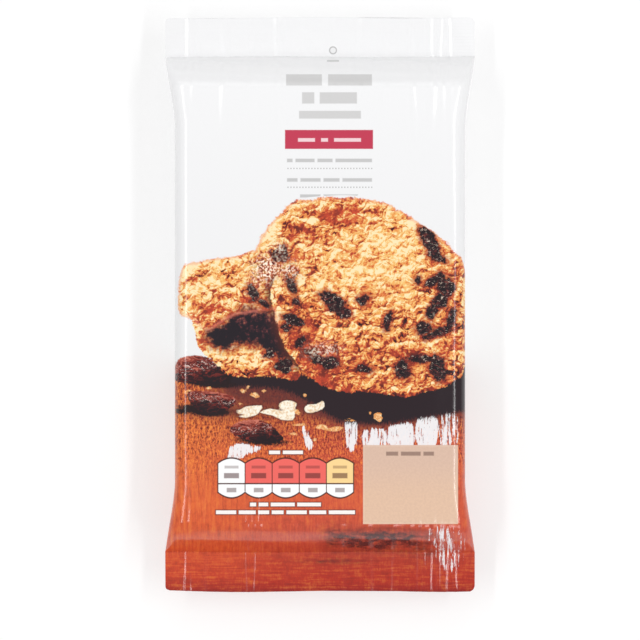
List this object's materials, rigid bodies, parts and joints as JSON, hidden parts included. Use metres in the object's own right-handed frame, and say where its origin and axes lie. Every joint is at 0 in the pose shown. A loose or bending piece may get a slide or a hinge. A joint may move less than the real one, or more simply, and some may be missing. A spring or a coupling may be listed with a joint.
{
  "type": "biscuit pack",
  "caption": "Flow-wrapped film pack of soft raisin biscuits, lying on its back, with a flat crimped fin at each end and a lengthwise seal folded flat on the back.",
  "frame": {"origin": "middle of the pack's footprint, on the plane it lies on", "axes": "+Y towards the top end of the printed front, +Z out of the front, +X to the right of the front"},
  "size_m": [0.141, 0.262, 0.0404],
  "materials": {
    "printed_film": "glossy printed film: white at the top and a warm orange-brown over the lower half"
  },
  "bodies": {
    "root": {"pack": "printed_film"}
  },
  "joints": []
}
